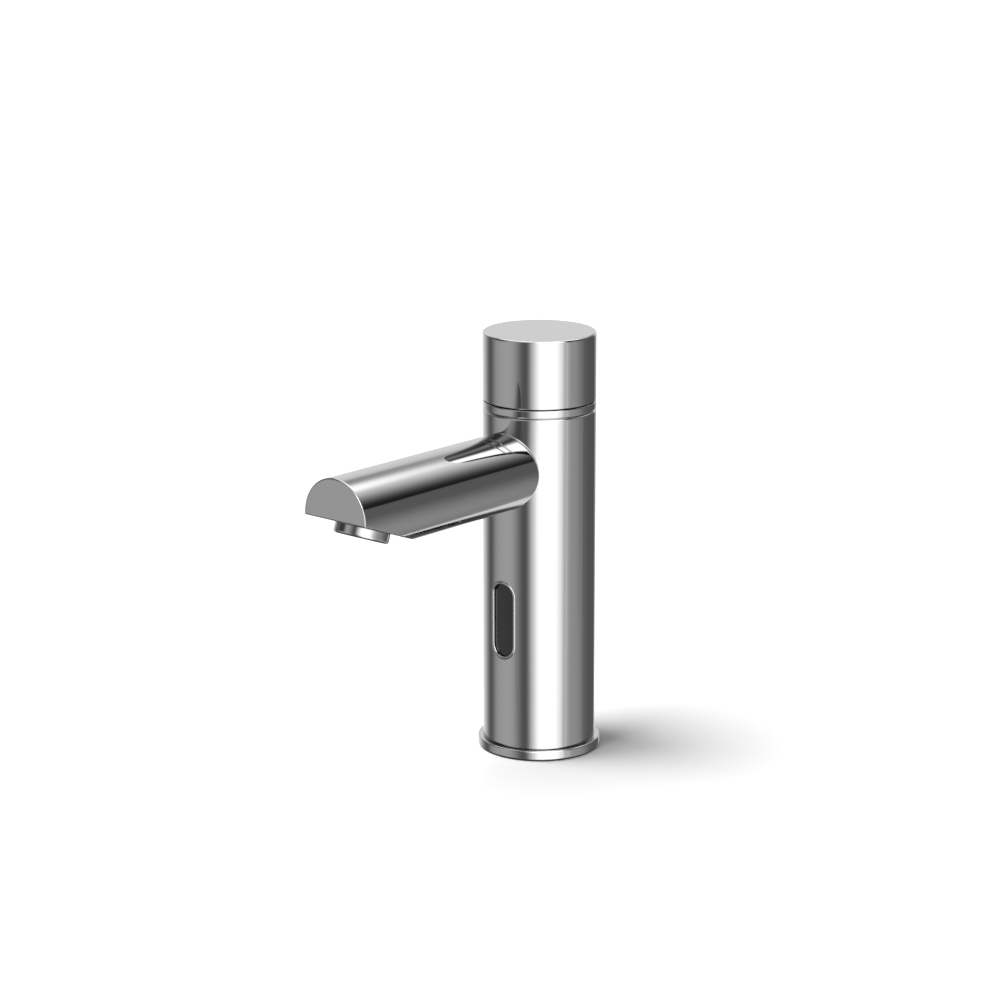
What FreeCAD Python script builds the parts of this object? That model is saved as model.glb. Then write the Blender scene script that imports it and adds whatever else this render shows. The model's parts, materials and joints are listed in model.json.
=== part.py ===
import FreeCAD, Part
import math
import os

# A basin tap with a sensor window, a level round spout and a round temperature knob.
# Millimetres. The origin is on the deck at the column's axis, +Z up, the spout towards -Y.

os.makedirs("parts", exist_ok=True)

Vector = FreeCAD.Vector

# General clearances
slip_gap = 0.2          # between pieces that slide together and then stay put
running_gap = 0.05      # between a turning or sliding piece and its bore
moving_gap = 0.4        # between a moving piece and a fixed one that it must miss
overrun = 1.0           # how far every cutting tool runs past the face that it cuts

# Column, flange and collar
column_radius = 23.2
column_wall = 2.5
seam_above_spout = 22.8     # from the spout's axis up to the seam under the collar
flange_overhang = 2.1
flange_height = 3.6
flange_edge = 0.5           # rounding of its upper edge
groove_height = 0.15
groove_depth = 0.7
gasket_height = 0.7
gasket_inset = 0.5
collar_height = 3.5
seam_bevel = 0.55
column_foot_edge = 0.2      # rounding of the column's lower edge
collar_bevel = 0.2

column_bore = column_radius - column_wall
flange_radius = column_radius + flange_overhang
flange_low = gasket_height
flange_top = flange_low + flange_height
column_low = flange_top + groove_height

# Spout with its slanting outlet face
spout_radius = 16.0
spout_wall = 2.0
spout_reach = 120.8
spout_axis_height = 121.0
spout_edge = 0.4        # rounding of the rim round the spout's end face
saddle_edge = 1.2       # rounding of the spout's end, against the column
outlet_edge_rounding = 0.4
outlet_drop = 0.7
outlet_slope_degrees = 20.6
outlet_boss_radius = 11.2
outlet_boss_depth = 16.0

spout_bore = spout_radius - spout_wall
column_top = spout_axis_height + seam_above_spout
collar_top = column_top + collar_height

# Aerator
aerator_setback = 16.7
aerator_radius = 11.05
aerator_stand = 4.2
aerator_edge = 1.2
aerator_thread_radius = 9.15
aerator_thread_length = 8.0
aerator_bore = 8.0
aerator_lip_height = 0.6
aerator_lip_width = 0.7
aerator_grid_height = 2.6
aerator_grid_hole = 0.72
aerator_grid_pitch = 2.0
aerator_insert_wall = 0.8
strainer_height = 1.2
strainer_hole = 0.45
strainer_pitch = 1.6
aerator_seal_height = 1.0
chamber_radius = 7.5

# Temperature knob
cap_gap = 0.4
cap_height = 28.0
cap_wall = 2.5
cap_top_wall = 3.0
cap_edge = 0.9          # rounding round its top
cap_foot_edge = 0.3
grub_radius = 2.0
grub_length = 5.8
grub_recess = 0.8
grub_socket = 1.15
grub_socket_depth = 2.4
grub_drop = 9.0         # below the cap's top

cap_low = collar_top + cap_gap
cap_top = cap_low + cap_height
cap_bore = column_radius - cap_wall
cap_roof = cap_top - cap_top_wall

# Base block with its two inlets, stud hole and cable outlet
block_height = 16.0
block_spigot_step = 1.2     # the spigot is this much smaller than the column's bore
inlet_radius = 4.5
inlet_depth = 11.0
inlet_setback = -1.0
waterway_radius = 2.6
stud_hole_radius = 3.4
stud_hole_depth = 12.0
stud_share = 0.5797         # of the column's bore, from its axis back to the stud's
grommet_share = 0.5797      # of the column's bore, from its axis forward to the cable's
grommet_radius = 3.3
grommet_flange_radius = 4.6
grommet_flange_height = 1.5
grommet_length = 12.0
cable_hole_radius = 2.2
block_top = column_low + block_height
block_spigot_radius = column_bore - block_spigot_step
stud_offset = stud_share * column_bore
grommet_offset = grommet_share * column_bore

# Riser pipes and their rings
riser_radius = 4.0
riser_wall = 0.8
riser_insert = 6.0
ring_section = 0.6      # section radius of the riser and outlet rings
ring_setback = 3.0

# Valve body with the waterways, the pilot valve's seat and the cartridge's pocket
body_below_spout = 28.0
body_socket_depth = 9.5
body_neck_step = 1.5        # the neck is this much smaller than the column's bore
pocket_wall = 1.6
pocket_depth = 20.0
pocket_below_seam = 7.8
mixed_port_radius = 2.0
mixed_port_rim = 1.1        # left between the mixed port and the fixed disc's edge
mixed_port_degrees = 55.6
side_port_rim = 2.0
cartridge_wall = 2.4
fixed_disc_step = 0.4

body_low = spout_axis_height - body_below_spout
body_neck_radius = column_bore - body_neck_step
pocket_radius = body_neck_radius - pocket_wall
pocket_floor = column_top - pocket_below_seam
neck_top = pocket_floor + pocket_depth
cartridge_radius = pocket_radius - slip_gap
disc_chamber_radius = cartridge_radius - cartridge_wall
disc_radius = disc_chamber_radius - fixed_disc_step
riser_x = disc_radius - side_port_rim - waterway_radius
mixed_port_reach = disc_radius - mixed_port_rim - mixed_port_radius
mixed_port_x = mixed_port_reach * math.cos(math.radians(mixed_port_degrees))
mixed_port_y = mixed_port_reach * math.sin(math.radians(mixed_port_degrees))

# Outlet tube inside the spout
outlet_tube_radius = 4.0
outlet_tube_wall = 1.0
outlet_tube_insert = 7.0
outlet_tube_short = 12.7    # its end stays this far behind the aerator's middle
outlet_socket_length = 8.5
outlet_socket_wall = 1.6
outlet_passage_radius = 2.2
outlet_passage_rise = 1.6

# Pilot valve: diaphragm, bonnet and solenoid
can_wall_gap = 1.1          # between the solenoid's can and the column's bore
can_riser_gap = 1.27        # between the can and the riser pipes
valve_thread_step = 0.6     # the bonnet's thread is this much smaller than its flange
valve_thread_length = 4.0
valve_chamber_step = 0.8
valve_chamber_depth = 5.0
seat_share = 0.4375         # of the can's radius
outlet_port_share = 0.667   # of the seat's radius
seat_lip_gap = 0.1
membrane_thickness = 1.0
membrane_rise = 4.0
membrane_rim_share = 0.811  # the rim's inside, of the thread's radius
membrane_top_share = 0.904  # of the rim's inside
carrier_share = 0.8485      # of the membrane's top
carrier_thickness = 2.0
carrier_hub_share = 0.4464
carrier_hub_length = 1.1
carrier_nose_radius = 0.9
pilot_hole_radius = 0.4
bonnet_flange_height = 6.0
bonnet_floor = 4.0
core_tube_share = 0.51      # of the can's radius
core_tube_wall = 0.6
core_flange_step = 0.8
core_flange_height = 0.8
can_wall = 0.7
can_floor = 1.5
pole_washer_height = 1.0
bobbin_wall = 1.0
bobbin_flange = 1.0
winding_length = 22.0
winding_inset = 0.3
pole_length = 7.5
pole_stud_radius = 2.5
pole_stud_length = 4.4
solenoid_nut_width = 8.0
solenoid_nut_height = 3.4
plunger_fit = 0.08
plunger_travel = 1.8
plunger_stop_gap = 0.2      # left above the pole piece when the plunger is down
plunger_nose_share = 0.605  # of the core tube's bore
plunger_nose_length = 3.0
plunger_seal_share = 0.692  # of the plunger's nose
plunger_seal_depth = 1.6
plunger_seal_stand = 0.85
spring_bore_share = 0.547   # of the core tube's bore
spring_bore_depth = 6.0
spring_wire_radius = 0.3
spring_turns = 9
lead_radius = 1.2
lead_drop = 4.7         # below the top of the sensor's housing

# The can fills the room that the risers and the column's bore leave behind them
room_depth = column_bore - can_wall_gap - inlet_setback
riser_reach = riser_radius + can_riser_gap
bonnet_flange_radius = ((room_depth ** 2 + riser_x ** 2 - riser_reach ** 2)
                        / (2 * (room_depth + riser_reach)))
solenoid_y = column_bore - can_wall_gap - bonnet_flange_radius
valve_thread_radius = bonnet_flange_radius - valve_thread_step
valve_chamber_radius = valve_thread_radius - valve_chamber_step
seat_radius = seat_share * bonnet_flange_radius
outlet_port_radius = outlet_port_share * seat_radius
membrane_rim_inner = membrane_rim_share * valve_thread_radius
membrane_top_radius = membrane_top_share * membrane_rim_inner
carrier_radius = carrier_share * membrane_top_radius
carrier_hub_radius = carrier_hub_share * carrier_radius
core_tube_radius = core_tube_share * bonnet_flange_radius
core_flange_radius = membrane_rim_inner - core_flange_step
core_bore = core_tube_radius - core_tube_wall
plunger_nose_radius = plunger_nose_share * core_bore
plunger_seal_radius = plunger_seal_share * plunger_nose_radius
spring_bore_radius = spring_bore_share * core_bore

# Sensor
window_share = 0.5403       # of the free height between base block and valve body
window_height = 33.0
window_width = 12.3
window_recess = 1.1
window_flange = 2.0
bezel_width = 1.1
bezel_stand = 0.2       # how far the bezel stands proud of the column
bezel_edge = 0.45
window_flange_thickness = 1.2
window_gasket_thickness = 0.5
housing_half_width = 8.0
housing_riser_gap = 2.0
housing_wall = 1.2
housing_margin = 2.4    # above and below the window's slot
board_thickness = 1.6
board_setback = 2.0     # from the housing's back to the board's back
eye_radius = 2.5
eye_gap = 1.0           # from the eyes' tips to the window
eye_spacing = 15.0
clip_thickness = 1.5
clip_height = 6.0
clip_mouth = 1.5
clip_rise = 15.0        # from the housing's foot up to the clips

window_low = block_top + window_share * (body_low - block_top - window_height)
window_high = window_low + window_height
housing_low = window_low - housing_margin
housing_high = window_high + housing_margin
housing_back = riser_radius + housing_riser_gap - inlet_setback
clip_low = housing_low + clip_rise
lead_height = housing_high - lead_drop

# Cartridge
cartridge_base_height = 3.5
seal_height = 1.0
seal_inner_extra = 0.4
seal_outer_extra = 1.3
fixed_disc_height = 3.0
moving_disc_step = 1.2
moving_disc_height = 2.6
driver_step = 0.6
driver_height = 3.4
driver_lug_width = 5.0
driver_lug_length = 3.0
driver_lug_height = 1.4
disc_pocket_depth = 1.2
disc_pocket_width = 6.3
disc_pocket_rim = 1.0
disc_pocket_half_degrees = 62.0
cartridge_shoulder = 16.0   # above the pocket's floor
cartridge_neck_share = 0.546    # of the cartridge's radius
cartridge_neck_height = 6.5
spindle_radius = 5.0
spindle_flat_width = 6.4
spindle_flat_length = 9.5
spindle_ring_section = 0.55
spindle_ring_pitch = 3.0
nut_height = 5.5
nut_notch_width = 4.0
nut_notch_depth = 2.0
nut_notches = 6
stop_base_height = 1.0
stop_step = 0.9         # the stop ring is this much smaller than the cartridge
stop_wall = 3.5
stop_height = 3.0
stop_half_degrees = 62.0
tongue_half_degrees = 10.0
adapter_hub_radius = 8.0
adapter_web_height = 3.0
adapter_rim_thickness = 3.0
adapter_rim_height = 10.8
knob_screw_radius = 2.0
knob_screw_length = 8.0
knob_screw_head_radius = 3.6
knob_screw_head_height = 2.4
knob_screw_socket = 1.3

cartridge_neck_radius = cartridge_neck_share * cartridge_radius
moving_disc_radius = disc_chamber_radius - moving_disc_step
driver_radius = moving_disc_radius - driver_step
disc_pocket_outer = moving_disc_radius - disc_pocket_rim
disc_pocket_inner = disc_pocket_outer - disc_pocket_width
stop_outer = cartridge_radius - stop_step
stop_inner = stop_outer - stop_wall

turn = 360.0
half_turn = 180.0
right_angle = 90.0


def rod(radius, low, high, x=0.0, y=0.0):
    return Part.makeCylinder(radius, high - low, Vector(x, y, low))


def tube(outer, inner, low, high, x=0.0, y=0.0):
    return rod(outer, low, high, x, y).cut(rod(inner, low - overrun, high + overrun, x, y))


def block(x_low, x_high, y_low, y_high, z_low, z_high):
    corner = Vector(x_low, y_low, z_low)
    return Part.makeBox(x_high - x_low, y_high - y_low, z_high - z_low, corner)


def forward_rod(radius, back, front, z, x=0.0):
    """A cylinder along -Y, between two distances in front of the column's axis."""
    return Part.makeCylinder(radius, front - back, Vector(x, -back, z), Vector(0, -1, 0))


def turned(points, x=0.0, y=0.0):
    """A closed outline of radius and height, turned round a vertical axis."""
    corners = [Vector(x + radius, y, height) for radius, height in points]
    corners.append(corners[0])
    face = Part.Face(Part.makePolygon(corners))
    return face.revolve(Vector(x, y, 0), Vector(0, 0, 1), turn)


def rounded(shape, radius, height, size):
    """Rounds the circular edge of that radius at that height."""
    rim = [edge for edge in shape.Edges
           if isinstance(edge.Curve, Part.Circle)
           and abs(edge.Curve.Radius - radius) < running_gap
           and abs(edge.Curve.Center.z - height) < running_gap]
    return shape.makeFillet(size, rim)


def soft_ring(bore, section, height, x=0.0, y=0.0):
    """A round rubber ring that hugs a pin of the given radius."""
    return Part.makeTorus(bore + section, section, Vector(x, y, height))


def hexagon(width, low, high, x=0.0, y=0.0):
    reach = width / math.sqrt(3)
    corners = []
    for side in range(7):
        angle = math.radians(60 * side)
        corners.append(Vector(x + reach * math.cos(angle), y + reach * math.sin(angle), low))
    return Part.Face(Part.makePolygon(corners)).extrude(Vector(0, 0, high - low))


def sector(inner, outer, low, high, start_degrees, sweep_degrees):
    """Part of a flat ring round the column's axis."""
    start = Part.makeCylinder(outer, high - low, Vector(0, 0, low), Vector(0, 0, 1), sweep_degrees)
    start.rotate(Vector(0, 0, 0), Vector(0, 0, 1), start_degrees)
    return start.cut(rod(inner, low - overrun, high + overrun))


def slot_prism(width, low, high, back, front):
    """A slot with round ends, standing upright, that runs along Y."""
    half = width / 2
    bottom = low + half
    top = high - half
    ends = forward_rod(half, back, front, bottom).fuse(forward_rod(half, back, front, top))
    return ends.fuse(block(-half, half, -front, -back, bottom, top)).removeSplitter()


def save(shape, name):
    if not shape.isValid():
        print("not valid:", name)
    shape.exportStep("parts/" + name + ".step")


# The outlet's own frame: its Z axis points out of the slanting face
outlet_turn = FreeCAD.Rotation(Vector(1, 0, 0), half_turn - outlet_slope_degrees)
outlet_edge = Vector(0, -spout_reach, spout_axis_height - outlet_drop)
outlet_back = outlet_turn.multVec(Vector(0, -1, 0))
outlet_out = outlet_turn.multVec(Vector(0, 0, 1))
outlet_centre = outlet_edge + outlet_back * aerator_setback


# Distances in front of the column's axis of the two rings on the outlet tube
back_ring_place = column_bore - slip_gap - ring_setback
outlet_tube_front = -outlet_centre.y - outlet_tube_short
front_ring_place = outlet_tube_front - outlet_socket_length / 2


def outlet_ring_groove(place):
    radius = outlet_tube_radius + 2 * ring_section + running_gap
    return forward_rod(radius, place - ring_section, place + ring_section, spout_axis_height)


def at_outlet(shape, centre=outlet_centre):
    placement = FreeCAD.Placement(centre, outlet_turn)
    return shape.transformed(placement.toMatrix(), True)


def make_column_shell():
    outline = [
        (column_bore, column_low),
        (column_radius, column_low),
        (column_radius, column_top - seam_bevel),
        (column_radius - seam_bevel, column_top),
        (column_bore, column_top),
    ]
    shell = rounded(turned(outline), column_radius, column_low, column_foot_edge)
    shell = shell.cut(forward_rod(spout_bore, 0, column_radius + overrun, spout_axis_height))
    return shell.cut(window_prism(bezel_width))


def make_spout_shell():
    outer = forward_rod(spout_radius, 0, spout_reach, spout_axis_height)
    rim = [edge for edge in outer.Edges if edge.BoundBox.YMax < spout_edge - spout_reach]
    outer = outer.makeFillet(spout_edge, rim)
    size = spout_reach
    below = block(-size, size, -size, size, 0, size)
    outer = outer.cut(at_outlet(below, outlet_edge))
    slant = [face for face in outer.Faces if looks_down_the_outlet(face)]
    outer = outer.makeFillet(outlet_edge_rounding, slant[0].OuterWire.Edges)
    outer = outer.cut(rod(column_radius, 0, cap_top))
    saddle = [edge for edge in outer.Edges if follows_saddle(edge)]
    outer = outer.makeFillet(saddle_edge, saddle)
    hollow = forward_rod(spout_bore, -overrun, spout_reach - spout_wall, spout_axis_height)
    hollow = hollow.cut(at_outlet(below, outlet_edge - outlet_out * spout_wall))
    boss = at_outlet(rod(outlet_boss_radius, -outlet_boss_depth, 0)).common(outer)
    socket_radius = outlet_tube_radius + outlet_socket_wall
    holder = forward_rod(socket_radius, outlet_tube_front - outlet_socket_length,
                         outlet_tube_front + outlet_socket_wall, spout_axis_height)
    shell = outer.cut(hollow).fuse(boss).fuse(holder.common(outer))
    thread = rod(aerator_thread_radius + slip_gap / 2, -aerator_thread_length - aerator_seal_height,
                 overrun)
    chamber_top = outlet_boss_depth - spout_wall
    chamber = rod(chamber_radius, -chamber_top, 0)
    shell = shell.cut(at_outlet(thread)).cut(at_outlet(chamber))
    socket = forward_rod(outlet_tube_radius + running_gap, column_radius,
                         outlet_tube_front + slip_gap, spout_axis_height)
    shell = shell.cut(socket)
    passage = forward_rod(outlet_passage_radius, outlet_tube_front, -outlet_centre.y,
                          spout_axis_height + outlet_passage_rise)
    shell = shell.cut(passage)
    return shell.cut(outlet_ring_groove(front_ring_place))


def looks_down_the_outlet(face):
    """Whether a face is flat and lies square to the outlet."""
    if not isinstance(face.Surface, Part.Plane):
        return False
    return (face.normalAt(0, 0) - outlet_out).Length < running_gap


def follows_saddle(edge):
    """Whether an edge lies both on the column's skin and on the spout's."""
    for share in (0.2, 0.5, 0.8):
        place = edge.valueAt(edge.FirstParameter + share * (edge.LastParameter - edge.FirstParameter))
        off_column = abs(math.hypot(place.x, place.y) - column_radius)
        off_spout = abs(math.hypot(place.x, place.z - spout_axis_height) - spout_radius)
        if max(off_column, off_spout) > slip_gap:
            return False
    return True


def make_base_flange():
    outline = [
        (block_spigot_radius + slip_gap, flange_low),
        (flange_radius, flange_low),
        (flange_radius, flange_top),
        (column_radius - groove_depth, flange_top),
        (column_radius - groove_depth, column_low),
        (block_spigot_radius + slip_gap, column_low),
    ]
    return rounded(turned(outline), flange_radius, flange_top, flange_edge)


def make_base_gasket():
    inner = block_spigot_radius - column_wall
    return tube(flange_radius - gasket_inset, inner, 0, gasket_height)


def make_base_block():
    body = rod(column_bore - slip_gap, column_low, block_top)
    body = body.fuse(rod(block_spigot_radius, flange_low, column_low))
    for side in (-1, 1):
        x = side * riser_x
        body = body.cut(rod(inlet_radius, flange_low - overrun, flange_low + inlet_depth,
                            x, inlet_setback))
        body = body.cut(rod(waterway_radius, flange_low, block_top, x, inlet_setback))
        socket = rod(riser_radius + running_gap, block_top - riser_insert - slip_gap,
                     block_top + overrun, x, inlet_setback)
        body = body.cut(socket)
        middle = block_top - ring_setback
        groove = rod(riser_radius + 2 * ring_section + running_gap, middle - ring_section,
                     middle + ring_section, x, inlet_setback)
        body = body.cut(groove)
    body = body.cut(rod(stud_hole_radius, flange_low - overrun, flange_low + stud_hole_depth,
                        0, stud_offset))
    body = body.cut(rod(grommet_radius + running_gap, 0, block_top + overrun, 0, -grommet_offset))
    seat_top = flange_low + grommet_flange_height
    seat = rod(grommet_flange_radius + running_gap, 0, seat_top, 0, -grommet_offset)
    return body.cut(seat)


def make_cable_grommet():
    neck_low = flange_low + grommet_flange_height
    grommet = rod(grommet_flange_radius, flange_low, neck_low, 0, -grommet_offset)
    neck = rod(grommet_radius, neck_low, flange_low + grommet_length, 0, -grommet_offset)
    hole = rod(cable_hole_radius, 0, block_top, 0, -grommet_offset)
    return grommet.fuse(neck).cut(hole)


def make_riser(side):
    low = block_top - riser_insert
    high = body_low + body_socket_depth - slip_gap
    return tube(riser_radius, riser_radius - riser_wall, low, high, side * riser_x, inlet_setback)


def make_riser_rings():
    rings = []
    for side in (-1, 1):
        for height in (block_top - ring_setback, body_low + ring_setback * 2):
            rings.append(soft_ring(riser_radius, ring_section, height, side * riser_x,
                                   inlet_setback))
    return Part.makeCompound(rings)


def make_valve_body():
    body = rod(column_bore - slip_gap, body_low, column_top)
    body = body.fuse(rod(body_neck_radius, column_top, neck_top))
    body = body.cut(rod(pocket_radius, pocket_floor, neck_top + overrun))
    for side in (-1, 1):
        x = side * riser_x
        socket_top = body_low + body_socket_depth
        body = body.cut(rod(riser_radius + running_gap, body_low - overrun, socket_top,
                            x, inlet_setback))
        middle = body_low + ring_setback * 2
        body = body.cut(rod(riser_radius + 2 * ring_section + running_gap, middle - ring_section,
                            middle + ring_section, x, inlet_setback))
        body = body.cut(rod(waterway_radius, body_low, pocket_floor + overrun, x, inlet_setback))
    thread_top = body_low + valve_thread_length
    chamber_top = thread_top + valve_chamber_depth
    body = body.cut(rod(valve_thread_radius, body_low - overrun, thread_top, 0, solenoid_y))
    body = body.cut(rod(valve_chamber_radius, thread_top, chamber_top, 0, solenoid_y))
    seat_low = thread_top - membrane_thickness + membrane_rise + seat_lip_gap
    body = body.fuse(rod(seat_radius, seat_low, chamber_top, 0, solenoid_y))
    body = body.cut(rod(outlet_port_radius, seat_low - overrun, spout_axis_height, 0, solenoid_y))
    body = body.cut(rod(mixed_port_radius, thread_top, pocket_floor + overrun,
                        mixed_port_x, mixed_port_y))
    front = column_bore + overrun
    body = body.cut(forward_rod(outlet_port_radius, -solenoid_y, front, spout_axis_height))
    socket_back = column_bore - slip_gap - outlet_tube_insert
    body = body.cut(forward_rod(outlet_tube_radius + running_gap, socket_back, front,
                                spout_axis_height))
    return body.cut(outlet_ring_groove(back_ring_place))


def make_outlet_tube():
    back = column_bore - outlet_tube_insert
    outer = forward_rod(outlet_tube_radius, back, outlet_tube_front, spout_axis_height)
    inner = forward_rod(outlet_tube_radius - outlet_tube_wall, back - overrun,
                        outlet_tube_front + overrun, spout_axis_height)
    return outer.cut(inner)


def make_outlet_tube_rings():
    rings = []
    for place in (back_ring_place, front_ring_place):
        rings.append(Part.makeTorus(outlet_tube_radius + ring_section, ring_section,
                                    Vector(0, -place, spout_axis_height), Vector(0, 1, 0)))
    return Part.makeCompound(rings)


def make_collar_ring():
    outline = [
        (body_neck_radius + slip_gap, column_top),
        (column_radius - seam_bevel, column_top),
        (column_radius, column_top + seam_bevel),
        (column_radius, collar_top - collar_bevel),
        (column_radius - collar_bevel, collar_top),
        (body_neck_radius + slip_gap, collar_top),
    ]
    return turned(outline)


def hole_disc(radius, low, high, hole, pitch, limit):
    """A round plate with a triangular pattern of holes."""
    plate = rod(radius, low, high)
    rows = int(limit / pitch) + 1
    holes = []
    for row in range(-rows, rows + 1):
        for place in range(-2 * rows, 2 * rows + 1):
            x = (place + row / 2) * pitch
            y = row * pitch * math.sqrt(3) / 2
            if math.hypot(x, y) + hole < limit:
                holes.append(rod(hole, low - overrun, high + overrun, x, y))
    return plate.cut(Part.makeCompound(holes))


def make_aerator_shell():
    flange = rod(aerator_radius, 0, aerator_stand)
    outer_edges = [edge for edge in flange.Edges
                   if edge.BoundBox.ZMin > aerator_stand - aerator_lip_height]
    flange = flange.makeFillet(aerator_edge, outer_edges)
    shell = flange.fuse(rod(aerator_thread_radius, -aerator_thread_length, 0))
    shell = shell.cut(rod(aerator_bore, -aerator_thread_length - overrun,
                          aerator_stand - aerator_lip_height))
    mouth = aerator_bore - aerator_lip_width
    return at_outlet(shell.cut(rod(mouth, 0, aerator_stand + overrun)))


def make_aerator_insert():
    radius = aerator_bore - slip_gap / 2
    high = aerator_stand - aerator_lip_height
    low = strainer_height - aerator_thread_length
    grid_low = high - aerator_grid_height
    grid = hole_disc(radius, grid_low, high, aerator_grid_hole, aerator_grid_pitch,
                     radius - aerator_insert_wall)
    wall = tube(radius, radius - aerator_insert_wall, low, grid_low)
    return at_outlet(grid.fuse(wall))


def make_aerator_strainer():
    radius = aerator_bore - slip_gap / 2
    low = -aerator_thread_length
    plate = hole_disc(radius, low, low + strainer_height, strainer_hole, strainer_pitch,
                      radius - aerator_insert_wall)
    return at_outlet(plate)


def make_aerator_seal():
    low = -aerator_thread_length - aerator_seal_height
    inner = chamber_radius - aerator_lip_width
    return at_outlet(tube(aerator_thread_radius, inner, low, -aerator_thread_length))


def make_knob_cap():
    body = rod(column_radius, cap_low, cap_top)
    rim = [edge for edge in body.Edges if edge.BoundBox.ZMin > cap_roof]
    body = body.makeFillet(cap_edge, rim)
    foot = [edge for edge in body.Edges if edge.BoundBox.ZMax < cap_low + cap_edge]
    body = body.makeChamfer(cap_foot_edge, foot)
    body = body.cut(rod(cap_bore, cap_low - overrun, cap_roof))
    hole = forward_rod(grub_radius + running_gap, -column_radius - overrun, 0, cap_top - grub_drop)
    return body.cut(hole)


def make_grub_screw():
    height = cap_top - grub_drop
    tail = grub_recess - column_radius
    screw = forward_rod(grub_radius, tail, tail + grub_length, height)
    socket = hexagon(2 * grub_socket, 0, grub_socket_depth + overrun)
    socket.rotate(Vector(0, 0, 0), Vector(1, 0, 0), right_angle)
    socket.translate(Vector(0, -tail + overrun, height))
    return screw.cut(socket)


# Heights in the cartridge, from the pocket's floor up
disc_floor = pocket_floor + cartridge_base_height
moving_disc_low = disc_floor + fixed_disc_height + running_gap
driver_low = moving_disc_low + moving_disc_height + running_gap
shoulder = pocket_floor + cartridge_shoulder
housing_neck_top = shoulder + cartridge_neck_height
nut_top = shoulder + nut_height
stop_floor = nut_top + stop_base_height
spindle_top = housing_neck_top + spindle_flat_length
port_places = [(-riser_x, inlet_setback, waterway_radius), (riser_x, inlet_setback, waterway_radius),
               (mixed_port_x, mixed_port_y, mixed_port_radius)]


def port_seals(low):
    rings = []
    for x, y, radius in port_places:
        rings.append(tube(radius + seal_outer_extra, radius + seal_inner_extra, low,
                          low + seal_height, x, y))
    return rings


def make_cartridge_base():
    base = rod(cartridge_radius, pocket_floor, disc_floor)
    for x, y, radius in port_places:
        base = base.cut(rod(radius, pocket_floor - overrun, disc_floor + overrun, x, y))
    for ring in port_seals(pocket_floor) + port_seals(disc_floor - seal_height):
        base = base.cut(ring)
    return base


def make_fixed_disc():
    disc = rod(disc_radius, disc_floor, disc_floor + fixed_disc_height)
    for x, y, radius in port_places:
        disc = disc.cut(rod(radius, disc_floor - overrun, moving_disc_low + overrun, x, y))
    return disc


def driver_lugs(width, height, low):
    lugs = []
    for side in (-1, 1):
        inner = driver_radius - driver_lug_length
        ends = sorted((side * inner, side * (driver_radius + (width - driver_lug_width))))
        lugs.append(block(ends[0], ends[1], -width / 2, width / 2, low, low + height))
    return lugs


def make_moving_disc():
    top = moving_disc_low + moving_disc_height
    disc = rod(moving_disc_radius, moving_disc_low, top)
    pocket = sector(disc_pocket_inner, disc_pocket_outer, moving_disc_low - overrun,
                    moving_disc_low + disc_pocket_depth, right_angle - disc_pocket_half_degrees,
                    2 * disc_pocket_half_degrees)
    disc = disc.cut(pocket)
    notch_low = top - driver_lug_height - running_gap
    for lug in driver_lugs(driver_lug_width + slip_gap, driver_lug_height + overrun, notch_low):
        disc = disc.cut(lug)
    return disc


def make_spindle():
    driver_top = driver_low + driver_height
    spindle = rod(driver_radius, driver_low, driver_top)
    for lug in driver_lugs(driver_lug_width, driver_lug_height, driver_low - driver_lug_height):
        spindle = spindle.fuse(lug.common(rod(driver_radius, 0, cap_top)))
    spindle = spindle.fuse(rod(spindle_radius, driver_top, housing_neck_top))
    half = spindle_flat_width / 2
    square = block(-half, half, -half, half, housing_neck_top, spindle_top)
    spindle = spindle.fuse(square.common(rod(spindle_radius - spindle_ring_section,
                                             housing_neck_top, spindle_top)))
    spindle = spindle.cut(rod(knob_screw_radius, spindle_top - knob_screw_length,
                              spindle_top + overrun))
    for height in spindle_ring_heights():
        groove_inner = spindle_radius - 2 * spindle_ring_section
        spindle = spindle.cut(tube(spindle_radius + overrun, groove_inner,
                                   height - spindle_ring_section - running_gap,
                                   height + spindle_ring_section + running_gap))
    return spindle


def spindle_ring_heights():
    middle = (shoulder + housing_neck_top) / 2
    return (middle - spindle_ring_pitch / 2, middle + spindle_ring_pitch / 2)


def make_spindle_rings():
    rings = []
    for height in spindle_ring_heights():
        rings.append(soft_ring(spindle_radius - 2 * spindle_ring_section, spindle_ring_section,
                               height))
    return Part.makeCompound(rings)


def make_cartridge_housing():
    housing = rod(cartridge_radius, disc_floor, shoulder)
    housing = housing.fuse(rod(cartridge_neck_radius, shoulder, housing_neck_top))
    chamber_top = driver_low + driver_height + moving_gap
    housing = housing.cut(rod(disc_chamber_radius, disc_floor - overrun, chamber_top))
    return housing.cut(rod(spindle_radius + running_gap, disc_floor, housing_neck_top + overrun))


def make_cartridge_nut():
    nut = tube(pocket_radius - slip_gap, cartridge_neck_radius + slip_gap, shoulder, nut_top)
    for count in range(nut_notches):
        notch = block(pocket_radius - nut_notch_width, pocket_radius + overrun,
                      -nut_notch_width / 2, nut_notch_width / 2, nut_top - nut_notch_depth,
                      nut_top + overrun)
        notch.rotate(Vector(0, 0, 0), Vector(0, 0, 1), turn / nut_notches * count)
        nut = nut.cut(notch)
    return nut


def make_stop_ring():
    ring = tube(stop_outer, cartridge_neck_radius + slip_gap, nut_top, stop_floor)
    wall = sector(stop_inner, stop_outer, stop_floor, stop_floor + stop_height,
                  stop_half_degrees - right_angle, turn - 2 * stop_half_degrees)
    return ring.fuse(wall)


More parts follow.
